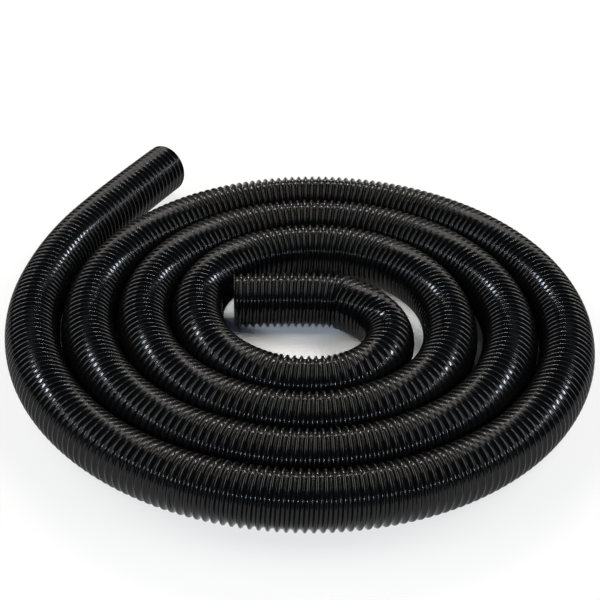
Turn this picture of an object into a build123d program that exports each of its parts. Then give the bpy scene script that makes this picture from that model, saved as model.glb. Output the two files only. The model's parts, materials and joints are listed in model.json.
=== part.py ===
from build123d import *
import os
from math import cos, pi, radians, sin, tan

# A bare vacuum hose, lying flat in a neat spiral of touching turns. Its wall is a smooth liner,
# a spring wire wound round the liner, and a ribbed cover over both, drawn to its rib crests.
# The inner end lies straight in the middle of the coil and turns tightly into the first turn.
# The free end leaves the last turn and lies behind it. Both ends are cut square and left open.
# Each layer is a solid of its own on three stretches, which meet face to face: the straight
# inner end, the coil with its bends, and the straight free end.

# Driving dimensions, mm
bore_radius = 19.0       # clear bore, for a 38 mm fitting
liner_wall = 0.8
wire_diameter = 1.0
wire_clearance = 0.05    # each side of the wire, between liner and cover
cover_wall = 3.1         # from inside the cover out to the rib crests
wire_pitch = 6.5         # one turn of wire under each rib
turn_gap = 0.3           # between neighbouring turns of the coil

liner_radius = bore_radius + liner_wall
wire_radius = liner_radius + wire_clearance + wire_diameter / 2    # of the winding's centreline
cover_bore = liner_radius + wire_diameter + 2 * wire_clearance
hose_radius = cover_bore + cover_wall
hose_diameter = 2 * hose_radius

# The coil, in plan. Angles run clockwise from +Y about the coil's centre. Each turn is a ring of
# short runs whose corners are rounded, and it grows by one hose and its gap in every turn.
runs_per_turn = 16
first_turn_radius = 1.43 * hose_diameter    # of the centreline, where the spiral would start
oval = 0.0048                               # how much longer a turn is along Y than along X
coil_start = 202.5                          # degrees
coil_end = 1327.5
turn_spacing = hose_diameter + turn_gap
corner_angle = 360 / runs_per_turn

# The route where it isn't coiled, in hose diameters from the coil's centre
inner_end_route = [
    (-1.36, 0.60), (0.33, 0.66), (0.83, 0.455), (1.205, 0.09), (1.41, -0.385),
    (1.41, -0.895), (1.205, -1.37), (0.825, -1.73), (0.33, -1.92), (-0.22, -1.95),
]
free_end_route = [(-5.21, 0.02), (-4.93, 2.05), (-4.35, 3.75), (-3.127, 5.764)]

# Each rounding takes this share of the shorter run at its corner
rounding_share = 0.45


def coil_corner(angle):
    """Corner of the coil's runs at this angle, a little outside the centreline."""
    turn_radius = first_turn_radius + turn_spacing * angle / 360
    turn_radius *= 1 + oval * cos(radians(2 * angle))
    reach = turn_radius / cos(radians(corner_angle / 2))
    return reach * sin(radians(angle)), reach * cos(radians(angle))


def corner_radius(before, corner, after):
    """Largest rounding that the two runs at this corner allow."""
    run_in = Vector(corner) - Vector(before)
    run_out = Vector(after) - Vector(corner)
    half_turn = radians(run_in.get_angle(run_out) / 2)
    return rounding_share * min(run_in.length, run_out.length) / tan(half_turn)


corner_count = round((coil_end - coil_start) / corner_angle) + 1
corners = [(x * hose_diameter, y * hose_diameter) for x, y in inner_end_route]
corners += [coil_corner(coil_start + corner_angle * i) for i in range(corner_count)]
corners += [(x * hose_diameter, y * hose_diameter) for x, y in free_end_route]
radii = [corner_radius(*corners[i - 1:i + 2]) for i in range(1, len(corners) - 1)]


def hose_line(plane):
    """The hose's centreline, drawn on this plane: a run, an arc, a run and so on."""
    with BuildLine(plane) as line:
        FilletPolyline(*corners, radius=radii)
    return line.wire().order_edges()


def square_to(path):
    """Plane square to the path at its start."""
    return Plane(origin=path @ 0, z_dir=path % 0)


# The origin is under the middle of the hose's outline, so the centreline is drawn about the
# coil's centre first, and its plane is then shifted by what a plain rod of this size measures.
coil_plane = Plane.XY.offset(hose_radius)
with BuildPart() as plain_rod:
    rod_line = Wire(hose_line(coil_plane))
    with BuildSketch(square_to(rod_line)):
        Circle(hose_radius)
    sweep(path=rod_line)
outline = plain_rod.part.bounding_box()
middle = outline.center()
hose_plane = Plane(origin=(-middle.X, -middle.Y, hose_radius))

edges = hose_line(hose_plane)
stretches = {
    "inner_end": Wire(edges[:1]),
    "coil": Wire(edges[1:-1]),
    "free_end": Wire(edges[-1:]),
}


def build_tube(path, inside, outside, label):
    """One layer of the wall along one stretch."""
    with BuildPart() as tube:
        with BuildSketch(square_to(path)):
            Circle(outside)
            Circle(inside, mode=Mode.SUBTRACT)
        sweep(path=path)
    tube.part.label = label
    return tube.part


def build_winding(path, label):
    """The spring wire of a straight stretch, wound round the liner in whole turns."""
    length = path.length
    turns = int(length / wire_pitch) - 1
    spare = length - turns * wire_pitch
    with BuildPart() as winding:
        with BuildLine():
            helix = Helix(wire_pitch, turns * wire_pitch, wire_radius,
                          center=path @ (spare / 2 / length), direction=path % 0)
        with BuildSketch(square_to(helix)):
            Circle(wire_diameter / 2)
        sweep(path=helix, is_frenet=True)
    winding.part.label = label
    return winding.part


os.makedirs("parts", exist_ok=True)
parts = []
for stretch, path in stretches.items():
    # Liner: the smooth inner tube, extruded in one length
    parts.append(build_tube(path, bore_radius, liner_radius, f"liner_{stretch}"))
    # Cover: the ribbed outer tube, as far as its crests
    parts.append(build_tube(path, cover_bore, hose_radius, f"cover_{stretch}"))
# Wire: wound turn by turn on the straight ends
parts.append(build_winding(stretches["inner_end"], "wire_inner_end"))
parts.append(build_winding(stretches["free_end"], "wire_free_end"))
# and drawn as the plain sleeve that the winding fills along the coil
parts.append(build_tube(stretches["coil"], liner_radius + wire_clearance,
                        cover_bore - wire_clearance, "wire_coil"))
for part in parts:
    export_step(part, f"parts/{part.label}.step")

smallest, largest = min(radii) / hose_diameter, max(radii) / hose_diameter
print(f"bend radii {smallest:.2f} to {largest:.2f} diameters, in order:")
print(", ".join(f"{radius / hose_diameter:.2f}" for radius in radii))
print(f"hose length {sum(path.length for path in stretches.values()):.0f} mm")
for part in parts:
    print(f"{part.label}: {part.volume:.0f} mm3")
for stretch, path in stretches.items():
    wall = pi * (hose_radius**2 - cover_bore**2) * path.length
    print(f"cover_{stretch}, section times length: {wall:.0f} mm3 over {path.length:.1f} mm")
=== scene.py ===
import json
import math

import bmesh
import bpy
import numpy as np
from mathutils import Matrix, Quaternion, Vector


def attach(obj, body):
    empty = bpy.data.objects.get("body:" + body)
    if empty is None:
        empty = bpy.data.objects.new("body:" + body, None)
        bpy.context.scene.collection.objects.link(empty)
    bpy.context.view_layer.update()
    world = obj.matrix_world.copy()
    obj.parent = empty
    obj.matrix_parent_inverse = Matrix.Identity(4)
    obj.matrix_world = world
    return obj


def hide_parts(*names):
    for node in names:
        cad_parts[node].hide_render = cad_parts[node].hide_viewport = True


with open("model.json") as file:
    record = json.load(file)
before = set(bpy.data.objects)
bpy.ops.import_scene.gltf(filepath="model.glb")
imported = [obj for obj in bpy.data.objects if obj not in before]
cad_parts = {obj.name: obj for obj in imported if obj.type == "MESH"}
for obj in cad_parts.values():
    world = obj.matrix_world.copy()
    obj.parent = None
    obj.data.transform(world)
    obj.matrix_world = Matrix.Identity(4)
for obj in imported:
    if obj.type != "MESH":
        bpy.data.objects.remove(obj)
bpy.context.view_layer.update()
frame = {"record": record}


# ---- The line that the hose lies on ----
# One length of hose, laid flat: a straight inner end, a tight bend, the touching turns of the
# coil, and the free end. Every layer of its wall follows this one line.
hose_diameter = 0.048
runs_per_turn = 16
coil_start = 202.5       # degrees clockwise from +Y, about the coil's centre
coil_end = 1327.5
first_turn_radius = 1.406 * hose_diameter
turn_spacing = 1.004 * hose_diameter
# The squeeze and the shift are largest where the coil starts, and halve in about every turn
first_turn_oval = 0.0373
oval_direction = 170.2
oval_fade = 1.55         # turns
first_turn_shift = 0.049 * hose_diameter
shift_direction = 263
shift_fade = 1.34        # turns
whole_coil_oval = 0.0048
# Where the second turn lies in against the tight bend, and the first out against the cut end:
# the middle and the spread in degrees, and how far the turn is pushed out
places_pushed = [(455, 30, -0.07 * hose_diameter), (306, 25, 0.03 * hose_diameter)]

# The route where it isn't coiled, in hose diameters from the coil's centre
inner_end_route = [
    (-1.48, 0.63), (0.32, 0.765), (0.815, 0.455), (1.19, 0.07), (1.385, -0.39),
    (1.375, -0.88), (1.175, -1.35), (0.815, -1.735), (0.33, -1.96), (-0.215, -1.995),
]
free_end_route = [(-5.235, 0.03), (-4.97, 2.055), (-4.33, 3.74), (-3.21, 5.815)]

# The coil's centre, from where the inner end's mouth lies in the frame
mouth_in_coil = Vector((-1.36, 0.60, 0)) * hose_diameter
mouth = next(m for m in frame["record"]["mounts"] if m["name"] == "inner_end_mouth")
coil_centre = Vector(mouth["pos_m"]) - mouth_in_coil
coil_centre.z = 0

# Lying in a coil, the hose is pressed a little narrower than it is tall
section_width = 0.988
section_height = 1.049
line_height = hose_diameter / 2 * section_height
line_steps = 24          # between two corners


def coil_corner(angle):
    """Corner of the coil's runs at this angle, a little outside the line."""
    turns = angle / 360
    past_start = (angle - coil_start) / 360
    oval = first_turn_oval * math.exp(-past_start / oval_fade)
    shift = first_turn_shift * math.exp(-past_start / shift_fade)
    turn_radius = first_turn_radius + turn_spacing * turns
    turn_radius *= (1 + oval * math.cos(math.radians(2 * (angle - oval_direction)))
                    + whole_coil_oval * math.cos(math.radians(2 * angle)))
    turn_radius += shift * math.cos(math.radians(angle - shift_direction))
    for pushed_at, spread, push in places_pushed:
        turn_radius += push * math.exp(-((angle - pushed_at) / spread) ** 2)
    reach = turn_radius / math.cos(math.pi / runs_per_turn)
    return reach * math.sin(math.radians(angle)), reach * math.cos(math.radians(angle))


def lay_out_line():
    """The line as a smooth curve that touches each run between two corners."""
    corner_angle = 360 / runs_per_turn
    corner_count = round((coil_end - coil_start) / corner_angle) + 1
    corners = [(x * hose_diameter, y * hose_diameter) for x, y in inner_end_route]
    corners += [coil_corner(coil_start + corner_angle * i) for i in range(corner_count)]
    corners += [(x * hose_diameter, y * hose_diameter) for x, y in free_end_route]
    curve = bpy.data.curves.new("hose_line", "CURVE")
    curve.dimensions = "3D"
    curve.twist_mode = "Z_UP"
    curve.resolution_u = line_steps
    spline = curve.splines.new("NURBS")
    spline.points.add(len(corners) - 1)
    for point, (x, y) in zip(spline.points, corners):
        point.co = (coil_centre.x + x, coil_centre.y + y, line_height, 1)
    spline.order_u = 3
    spline.use_endpoint_u = True
    line = bpy.data.objects.new("hose_line", curve)
    bpy.context.collection.objects.link(line)
    return line


hose_line = lay_out_line()
bpy.context.view_layer.update()
line_mesh = bpy.data.meshes.new_from_object(hose_line)
line_points = [vertex.co.copy() for vertex in line_mesh.vertices]
hose_length = sum((b - a).length for a, b in zip(line_points, line_points[1:]))
bpy.data.meshes.remove(line_mesh)


# ---- Liner ----
# The smooth inner tube that the water runs through. It is made of dark plastic, extruded in one
# length over a mandrel, before the wire and the cover are wound on it.
bore_radius = 0.019
liner_wall = 0.0008
liner_radius = bore_radius + liner_wall
liner_steps = 48
liner_colour = (0.014, 0.014, 0.015, 1)
liner_gloss, liner_matt = 0.3, 0.5
liner_bump = 0.00003

# Each rib takes one turn of the winding, and the hose holds a whole number of them
rib_pitch_wanted = 0.0065
rib_count = round(hose_length / rib_pitch_wanted)
rib_pitch = hose_length / rib_count

# Round the tight bend the section is narrower still
tight_bend = (0.085, 0.285)        # m along the hose
tight_bend_narrowing = 0.06

seam_distance = 1e-6     # within one wound turn
weld_distance = 2e-5     # far under the shortest edge of any layer
rim_reach = 1e-4         # how far from a cut its rims can lie
cut_face_square = 0.999  # how squarely a cut face looks along the hose, at least


def wind(name, chains, steps, first_turn, turns, lead=rib_pitch):
    """Chains of (along, radius) points wound left-handed round X, one lead for every turn."""
    winding = bmesh.new()
    for chain in chains:
        verts = [winding.verts.new((x, 0, -radius)) for x, radius in chain]
        for a, b in zip(verts, verts[1:]):
            winding.edges.new((a, b))
    bmesh.ops.spin(
        winding, geom=winding.verts[:] + winding.edges[:], cent=(0, 0, 0), axis=(1, 0, 0),
        dvec=(lead / steps, 0, 0), angle=-math.tau, steps=steps,
    )
    bmesh.ops.translate(winding, verts=winding.verts, vec=(first_turn * rib_pitch, 0, 0))
    bmesh.ops.remove_doubles(winding, verts=winding.verts, dist=seam_distance)
    mesh = bpy.data.meshes.new(name)
    winding.to_mesh(mesh)
    winding.free()
    layer = bpy.data.objects.new(name, mesh)
    bpy.context.collection.objects.link(layer)
    repeat = layer.modifiers.new("turns", "ARRAY")
    repeat.count = turns
    repeat.use_relative_offset = False
    repeat.use_constant_offset = True
    repeat.constant_offset_displace = (rib_pitch, 0, 0)
    repeat.use_merge_vertices = True
    repeat.merge_threshold = weld_distance / 2
    apply_modifiers(layer)
    return layer


def apply_modifiers(layer):
    """Gives a layer the mesh that its modifiers make."""
    bpy.context.view_layer.update()
    finished = bpy.data.meshes.new_from_object(
        layer.evaluated_get(bpy.context.evaluated_depsgraph_get()))
    old = layer.data
    layer.modifiers.clear()
    layer.data = finished
    bpy.data.meshes.remove(old)


def cut_square(layer, start, end):
    """Cuts a straight layer square at both ends, and closes its wall there."""
    wall = bmesh.new()
    wall.from_mesh(layer.data)
    bmesh.ops.remove_doubles(wall, verts=wall.verts, dist=weld_distance)
    for x, outwards in ((start, -1), (end, 1)):
        bmesh.ops.bisect_plane(
            wall, geom=wall.verts[:] + wall.edges[:] + wall.faces[:], dist=weld_distance,
            plane_co=(x, 0, 0), plane_no=(outwards, 0, 0), clear_outer=True,
        )
        rims = [edge for edge in wall.edges
                if edge.is_boundary and abs(edge.verts[0].co.x - x) < rim_reach]
        bmesh.ops.triangle_fill(
            wall, use_beauty=True, use_dissolve=False, edges=rims, normal=(outwards, 0, 0))
    bmesh.ops.recalc_face_normals(wall, faces=wall.faces)
    wall.to_mesh(layer.data)
    wall.free()


def lay(layer, lowest_radius, highest_radius):
    """Presses a straight layer into its section and bends it along the hose's line."""
    mesh = layer.data
    facing = np.empty(len(mesh.polygons) * 3)
    mesh.polygons.foreach_get("normal", facing)
    cut_face = np.abs(facing[::3]) > cut_face_square
    mesh.polygons.foreach_set("use_smooth", ~cut_face)
    places = np.empty(len(mesh.vertices) * 3)
    mesh.vertices.foreach_get("co", places)
    straight = mesh.attributes.new("straight", "FLOAT_VECTOR", "POINT")
    straight.data.foreach_set("vector", places.astype(np.float32))
    places = places.reshape(-1, 3)
    along = places[:, 0]
    radius = np.hypot(places[:, 1], places[:, 2])
    crest = mesh.attributes.new("crest", "FLOAT", "POINT")
    height = (radius - lowest_radius) / (highest_radius - lowest_radius)
    crest.data.foreach_set("value", height.astype(np.float32))
    start, end = tight_bend
    in_bend = np.clip(1 - ((along - (start + end) / 2) / ((end - start) / 2)) ** 2, 0, 1)
    places[:, 1] *= section_width * (1 - tight_bend_narrowing * in_bend)
    places[:, 2] *= section_height
    mesh.vertices.foreach_set("co", places.ravel())
    follow = layer.modifiers.new("line", "CURVE")
    follow.object = hose_line
    follow.deform_axis = "POS_X"
    apply_modifiers(layer)
    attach(layer, "root")


# Marks of the extruder's die, in the places of the straight hose, so that they follow its bends
patch_scale = 34         # per metre
patch_detail = 5
patch_roughness = 0.6
streak_scale = (1900, 70, 70)
streak_detail = 2
pore_scale = 2600
streaks_in_gloss = 0.35
pores_in_height = 0.4
least_marked, most_marked = 0.5, 0.85
bump_strength = 0.5


def make_extrusion_marks():
    """Fine streaks round the hose, pores, and patches that are a little more matt."""
    group = bpy.data.node_groups.new("extrusion_marks", "ShaderNodeTree")
    group.interface.new_socket("Place", in_out="INPUT", socket_type="NodeSocketVector")
    for name in ("Gloss Roughness", "Matt Roughness"):
        group.interface.new_socket(name, in_out="INPUT", socket_type="NodeSocketFloat")
    for name in ("Roughness", "Patches", "Height"):
        group.interface.new_socket(name, in_out="OUTPUT", socket_type="NodeSocketFloat")
    nodes, links = group.nodes, group.links
    given = nodes.new("NodeGroupInput")
    result = nodes.new("NodeGroupOutput")
    patches = nodes.new("ShaderNodeTexNoise")
    patches.inputs["Scale"].default_value = patch_scale
    patches.inputs["Detail"].default_value = patch_detail
    patches.inputs["Roughness"].default_value = patch_roughness
    stretch = nodes.new("ShaderNodeMapping")
    stretch.inputs["Scale"].default_value = streak_scale
    streaks = nodes.new("ShaderNodeTexNoise")
    streaks.inputs["Scale"].default_value = 1
    streaks.inputs["Detail"].default_value = streak_detail
    pores = nodes.new("ShaderNodeTexNoise")
    pores.inputs["Scale"].default_value = pore_scale
    links.new(given.outputs["Place"], patches.inputs["Vector"])
    links.new(given.outputs["Place"], stretch.inputs["Vector"])
    links.new(stretch.outputs["Vector"], streaks.inputs["Vector"])
    links.new(given.outputs["Place"], pores.inputs["Vector"])
    blend = nodes.new("ShaderNodeMath")
    blend.operation = "MULTIPLY_ADD"
    blend.inputs[1].default_value = streaks_in_gloss
    links.new(streaks.outputs["Fac"], blend.inputs[0])
    links.new(patches.outputs["Fac"], blend.inputs[2])
    spread = nodes.new("ShaderNodeMapRange")
    spread.inputs["From Min"].default_value = least_marked
    spread.inputs["From Max"].default_value = most_marked
    links.new(blend.outputs[0], spread.inputs["Value"])
    links.new(given.outputs["Gloss Roughness"], spread.inputs["To Min"])
    links.new(given.outputs["Matt Roughness"], spread.inputs["To Max"])
    links.new(spread.outputs["Result"], result.inputs["Roughness"])
    links.new(patches.outputs["Fac"], result.inputs["Patches"])
    rough = nodes.new("ShaderNodeMath")
    rough.operation = "MULTIPLY_ADD"
    rough.inputs[1].default_value = pores_in_height
    links.new(pores.outputs["Fac"], rough.inputs[0])
    links.new(streaks.outputs["Fac"], rough.inputs[2])
    links.new(rough.outputs[0], result.inputs["Height"])
    return group


extrusion_marks = make_extrusion_marks()


def make_plastic(name, colour, gloss, matt, bump_depth):
    """Plastic with extrusion marks. Returns the material, its shader and its marks."""
    plastic = bpy.data.materials.new(name)
    plastic.use_nodes = True
    nodes, links = plastic.node_tree.nodes, plastic.node_tree.links
    shader = nodes["Principled BSDF"]
    shader.inputs["Base Color"].default_value = colour
    place = nodes.new("ShaderNodeAttribute")
    place.attribute_name = "straight"
    marks = nodes.new("ShaderNodeGroup")
    marks.node_tree = extrusion_marks
    marks.inputs["Gloss Roughness"].default_value = gloss
    marks.inputs["Matt Roughness"].default_value = matt
    links.new(place.outputs["Vector"], marks.inputs["Place"])
    links.new(marks.outputs["Roughness"], shader.inputs["Roughness"])
    bump = nodes.new("ShaderNodeBump")
    bump.inputs["Strength"].default_value = bump_strength
    bump.inputs["Distance"].default_value = bump_depth
    links.new(marks.outputs["Height"], bump.inputs["Height"])
    links.new(bump.outputs["Normal"], shader.inputs["Normal"])
    return plastic, shader, marks


liner_walls = [[(0, radius), (rib_pitch, radius)] for radius in (liner_radius, bore_radius)]
liner = wind("liner", liner_walls, liner_steps, -1, rib_count + 2, lead=0)
cut_square(liner, 0, hose_length)
lay(liner, bore_radius, liner_radius)
liner_plastic, _, _ = make_plastic(
    "dark_liner_plastic", liner_colour, liner_gloss, liner_matt, liner_bump)
liner.data.materials.append(liner_plastic)
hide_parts("liner_inner_end", "liner_coil", "liner_free_end")


# ---- Spring wire ----
# A coil of spring steel wound over the liner, one turn under every rib. It keeps the hose round
# in its bends, and it is held by the cover that is wound over it.
wire_radius = 0.0005
wire_clearance = 0.00005  # to the liner, and to the cover
wire_winding_radius = liner_radius + wire_clearance + wire_radius
wire_sides = 6
wire_steps = 24
bare_turns = 1           # at each cut end
wire_colour = (0.42, 0.41, 0.39, 1)
wire_gloss, wire_matt = 0.28, 0.45

wire_section = []
for side in range(wire_sides + 1):
    turned = math.tau * side / wire_sides
    wire_section.append((rib_pitch / 2 + wire_radius * math.cos(turned),
                         wire_winding_radius + wire_radius * math.sin(turned)))
wire = wind("spring_wire", [wire_section], wire_steps, bare_turns, rib_count - 2 * bare_turns - 1)
wire_mesh = bmesh.new()
wire_mesh.from_mesh(wire.data)
bmesh.ops.holes_fill(wire_mesh, edges=[edge for edge in wire_mesh.edges if edge.is_boundary])
bmesh.ops.recalc_face_normals(wire_mesh, faces=wire_mesh.faces)
wire_mesh.to_mesh(wire.data)
wire_mesh.free()
lay(wire, liner_radius, wire_winding_radius + wire_radius)

drawn_steel = bpy.data.materials.new("drawn_spring_steel")
drawn_steel.use_nodes = True
nodes, links = drawn_steel.node_tree.nodes, drawn_steel.node_tree.links
steel_shader = nodes["Principled BSDF"]
steel_shader.inputs["Base Color"].default_value = wire_colour
steel_shader.inputs["Metallic"].default_value = 1
steel_place = nodes.new("ShaderNodeAttribute")
steel_place.attribute_name = "straight"
steel_marks = nodes.new("ShaderNodeGroup")
steel_marks.node_tree = extrusion_marks
steel_marks.inputs["Gloss Roughness"].default_value = wire_gloss
steel_marks.inputs["Matt Roughness"].default_value = wire_matt
links.new(steel_place.outputs["Vector"], steel_marks.inputs["Place"])
links.new(steel_marks.outputs["Roughness"], steel_shader.inputs["Roughness"])
wire.data.materials.append(drawn_steel)
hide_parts("wire_inner_end", "wire_coil", "wire_free_end")


# ---- Ribbed cover ----
# The outer tube of glossy black plastic, wound as one strip whose edges are welded in the
# valleys. A round rib stands over every turn of the wire. It is drawn in lengths, end to end.
crest_radius = hose_diameter / 2
rib_height = 0.0028
valley_radius = crest_radius - rib_height
cover_bore = wire_winding_radius + wire_radius + wire_clearance
crest_round = 0.0013
valley_round = 0.00142
crest_steps, valley_steps = 8, 2
cover_steps = 64
cover_lengths = 7
cover_colour = (0.003, 0.003, 0.0033, 1)
cover_sheen = 0.26
cover_gloss, cover_matt = 0.1, 0.17
cover_bump = 0.000006
dust_colour = (0.012, 0.0115, 0.011, 1)
dust_below = 0.45        # of the rib's height
valley_roughness = 0.06  # more than on the ribs


def rib_section():
    """One pitch of the cover's outside, from valley to valley: round, flank, round."""
    rise = rib_height - crest_round - valley_round
    flank = math.atan2(rise, rib_pitch / 2) + math.asin(
        (crest_round + valley_round) / math.hypot(rise, rib_pitch / 2))
    points = []
    for centre, height, radius, start, end, steps in (
            (0, valley_round, -valley_round, 0, flank, valley_steps),
            (rib_pitch / 2, rib_height - crest_round, crest_round, -flank, flank, crest_steps),
            (rib_pitch, valley_round, -valley_round, -flank, 0, valley_steps)):
        for step in range(steps + 1):
            leaning = start + (end - start) * step / steps
            points.append((centre + abs(radius) * math.sin(leaning),
                           valley_radius + height + radius * math.cos(leaning)))
    return points


cover_pieces = []
for number in range(cover_lengths):
    first = round(rib_count * number / cover_lengths)
    last = round(rib_count * (number + 1) / cover_lengths)
    piece = wind(f"ribbed_cover_{number + 1}",
                 [rib_section(), [(0, cover_bore), (rib_pitch, cover_bore)]],
                 cover_steps, first - 1, last - first + 2)
    cut_square(piece, first * rib_pitch, last * rib_pitch)
    lay(piece, valley_radius, crest_radius)
    cover_pieces.append(piece)

black_plastic, black_shader, black_marks = make_plastic(
    "glossy_black_plastic", cover_colour, cover_gloss, cover_matt, cover_bump)
nodes, links = black_plastic.node_tree.nodes, black_plastic.node_tree.links
height = nodes.new("ShaderNodeAttribute")
height.attribute_name = "crest"
in_valley = nodes.new("ShaderNodeMapRange")
in_valley.interpolation_type = "SMOOTHSTEP"
in_valley.inputs["From Min"].default_value = dust_below
in_valley.inputs["From Max"].default_value = 0.0
links.new(height.outputs["Fac"], in_valley.inputs["Value"])
settled = nodes.new("ShaderNodeMath")
settled.operation = "MULTIPLY"
links.new(in_valley.outputs["Result"], settled.inputs[0])
links.new(black_marks.outputs["Patches"], settled.inputs[1])
dusted = nodes.new("ShaderNodeMix")
dusted.data_type = "RGBA"
dusted.inputs["A"].default_value = cover_colour
dusted.inputs["B"].default_value = dust_colour
links.new(settled.outputs[0], dusted.inputs["Factor"])
links.new(dusted.outputs["Result"], black_shader.inputs["Base Color"])
black_shader.inputs["Specular IOR Level"].default_value = cover_sheen
matter = nodes.new("ShaderNodeMath")
matter.operation = "MULTIPLY_ADD"
matter.inputs[1].default_value = valley_roughness
links.new(in_valley.outputs["Result"], matter.inputs[0])
links.new(black_marks.outputs["Roughness"], matter.inputs[2])
links.new(matter.outputs[0], black_shader.inputs["Roughness"])
for piece in cover_pieces:
    piece.data.materials.append(black_plastic)
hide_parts("cover_inner_end", "cover_coil", "cover_free_end")


# ---- The whole hose ----
# Liner, wire and cover make one bare hose, cut square at both ends, with nothing fitted.
bpy.data.objects.remove(hose_line)


# ---- Floor ----
# A wide sheet of white paper. It is shown whiter than it is lit in the middle of the coil, and
# outside the coil too, where a glow lifts the shadow. Between the turns it has painted shade.
floor_size = 20
floor_colour = 0.8
shown_in_middle = 1.75
# Painted shade: between the turns the floor is shown darker than it is lit
shown_painted_shade_under_turns = 0.27  # and outside the coil, where the glow is added
glow_outside = 0.72
under_turns_from, under_turns_to = 0.112, 0.122     # m from the coil's centre
outside_from, outside_to = 0.23, 0.246

paper_sheet = bmesh.new()
bmesh.ops.create_grid(paper_sheet, x_segments=1, y_segments=1, size=floor_size)
floor_mesh = bpy.data.meshes.new("floor")
paper_sheet.to_mesh(floor_mesh)
paper_sheet.free()
floor = bpy.data.objects.new("floor", floor_mesh)
bpy.context.collection.objects.link(floor)

paper = bpy.data.materials.new("white_paper")
paper.use_nodes = True
nodes, links = paper.node_tree.nodes, paper.node_tree.links
nodes.remove(nodes["Principled BSDF"])
ray = nodes.new("ShaderNodeLightPath")
camera_or_glossy = nodes.new("ShaderNodeMath")
camera_or_glossy.operation = "ADD"
links.new(ray.outputs["Is Camera Ray"], camera_or_glossy.inputs[0])
links.new(ray.outputs["Is Glossy Ray"], camera_or_glossy.inputs[1])
shown = nodes.new("ShaderNodeMath")
shown.operation = "ADD"
shown.use_clamp = True
links.new(camera_or_glossy.outputs[0], shown.inputs[0])
links.new(ray.outputs["Is Transmission Ray"], shown.inputs[1])
place = nodes.new("ShaderNodeTexCoord")
from_centre = nodes.new("ShaderNodeVectorMath")
from_centre.operation = "DISTANCE"
from_centre.inputs[1].default_value = coil_centre
links.new(place.outputs["Object"], from_centre.inputs[0])
# The shown colour paints shade on the floor between the turns, and the glow lifts the shadow
# outside
shown_colour = nodes.new("ShaderNodeMapRange")
shown_glow = nodes.new("ShaderNodeMapRange")
for zone, start, end, inside, outside in (
        (shown_colour, under_turns_from, under_turns_to, shown_in_middle, shown_painted_shade_under_turns),
        (shown_glow, outside_from, outside_to, 0, glow_outside)):
    zone.interpolation_type = "SMOOTHSTEP"
    zone.inputs["From Min"].default_value = start
    zone.inputs["From Max"].default_value = end
    zone.inputs["To Min"].default_value = inside
    zone.inputs["To Max"].default_value = outside
    links.new(from_centre.outputs["Value"], zone.inputs["Value"])
colour = nodes.new("ShaderNodeMix")
colour.inputs["A"].default_value = floor_colour
links.new(shown.outputs[0], colour.inputs["Factor"])
links.new(shown_colour.outputs["Result"], colour.inputs["B"])
matt_white = nodes.new("ShaderNodeBsdfDiffuse")
links.new(colour.outputs["Result"], matt_white.inputs["Color"])
glow_strength = nodes.new("ShaderNodeMath")
glow_strength.operation = "MULTIPLY"
links.new(shown_glow.outputs["Result"], glow_strength.inputs[0])
links.new(shown.outputs[0], glow_strength.inputs[1])
glow = nodes.new("ShaderNodeEmission")
glow.inputs["Color"].default_value = (1, 1, 1, 1)
links.new(glow_strength.outputs[0], glow.inputs["Strength"])
both = nodes.new("ShaderNodeAddShader")
links.new(matt_white.outputs[0], both.inputs[0])
links.new(glow.outputs[0], both.inputs[1])
links.new(both.outputs[0], nodes["Material Output"].inputs["Surface"])
floor.data.materials.append(paper)


# ---- Studio lights ----
# A dim tent closes the back of the set. A large soft box hangs at each side, three strips hang
# high behind the coil, and a small cool lamp stands on the viewer's side. The room is dark.
tent_edge = 15           # degrees behind overhead, where the tent begins
tent_fade = (-0.1, 0.3)  # across its edge, as sines
tent_colour = (1.0, 0.97, 0.92, 1)
room_colour = (0.35, 0.55, 1.0, 1)
tent_brightness = 0.4
room_brightness = 0.06

world = bpy.data.worlds.new("studio")
bpy.context.scene.world = world
world.use_nodes = True
nodes, links = world.node_tree.nodes, world.node_tree.links
background = nodes["Background"]
direction = nodes.new("ShaderNodeTexCoord")
behind_edge = nodes.new("ShaderNodeVectorMath")
behind_edge.operation = "DOT_PRODUCT"
behind_edge.inputs[1].default_value = (
    0, math.cos(math.radians(tent_edge)), -math.sin(math.radians(tent_edge)))
links.new(direction.outputs["Generated"], behind_edge.inputs[0])
in_tent = nodes.new("ShaderNodeMapRange")
in_tent.interpolation_type = "SMOOTHSTEP"
in_tent.inputs["From Min"].default_value = tent_fade[0]
in_tent.inputs["From Max"].default_value = tent_fade[1]
links.new(behind_edge.outputs["Value"], in_tent.inputs["Value"])
light_colour = nodes.new("ShaderNodeMix")
light_colour.data_type = "RGBA"
light_colour.inputs["A"].default_value = room_colour
light_colour.inputs["B"].default_value = tent_colour
links.new(in_tent.outputs["Result"], light_colour.inputs["Factor"])
links.new(light_colour.outputs["Result"], background.inputs["Color"])
light_strength = nodes.new("ShaderNodeMapRange")
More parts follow.
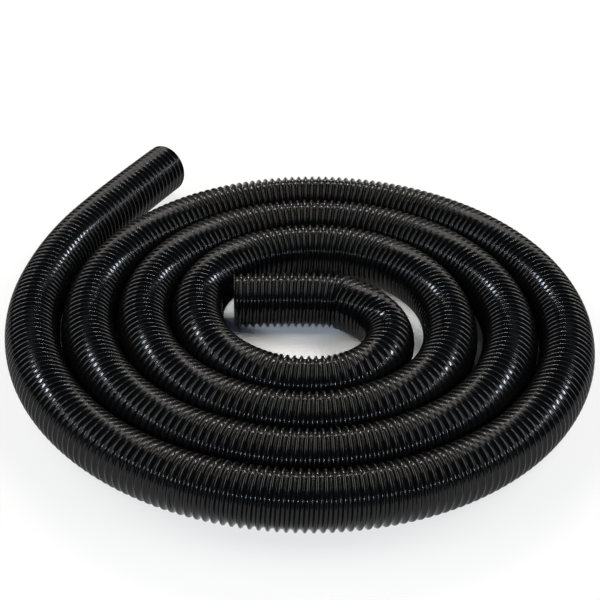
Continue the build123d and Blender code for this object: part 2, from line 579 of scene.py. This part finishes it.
light_strength.inputs["To Min"].default_value = room_brightness
light_strength.inputs["To Max"].default_value = tent_brightness
links.new(in_tent.outputs["Result"], light_strength.inputs["Value"])
links.new(light_strength.outputs["Result"], background.inputs["Strength"])


def hang_light(name, location, size, brightness, colour):
    """A flat light that faces the coil, with its brightness as seen in a mirror."""
    lamp = bpy.data.lights.new(name, "AREA")
    lamp.shape = "RECTANGLE"
    lamp.size, lamp.size_y = size
    lamp.energy = math.pi * brightness * size[0] * size[1]
    lamp.color = colour
    light = bpy.data.objects.new(name, lamp)
    bpy.context.collection.objects.link(light)
    light.location = location
    light.rotation_euler = (-light.location).to_track_quat("-Z", "Y").to_euler()
    light.visible_camera = False


warm, cool = (1, 0.97, 0.9), (0.78, 0.87, 1)
hang_light("left_softbox", (-1.2, 0.15, 0.95), (1.2, 1.0), 3.8, warm)
hang_light("right_softbox", (1.2, 0.15, 0.95), (1.2, 1.0), 3.8, warm)
hang_light("back_strip", (0, 1.2, 0.9), (0.5, 0.12), 45, warm)
hang_light("left_strip", (-0.95, 0.9, 1.04), (0.22, 0.2), 18, warm)
hang_light("right_strip", (1.09, 0.92, 0.88), (0.22, 0.2), 18, warm)
hang_light("front_lamp", (0, -1.34, 0.68), (0.3, 0.07), 95, cool)


# ---- Camera ----
# It looks down at the coil from the front, through a long lens.
target = coil_centre + Vector((-0.24, 0.7235, 0.5)) * hose_diameter
elevation = math.radians(33.565)
roll = math.radians(0.867)
distance = 27.318 * hose_diameter

camera_data = bpy.data.cameras.new("camera")
camera = bpy.data.objects.new("camera", camera_data)
bpy.context.collection.objects.link(camera)
bpy.context.scene.camera = camera
camera_data.sensor_width = 36
camera_data.lens = 86.75
camera_data.clip_end = 60
back = Vector((0, -math.cos(elevation), math.sin(elevation)))
camera.location = target + back * distance
camera.rotation_mode = "QUATERNION"
camera.rotation_quaternion = (-back).to_track_quat("-Z", "Y") @ Quaternion((0, 0, 1), roll)
bpy.context.scene.view_settings.view_transform = "Standard"
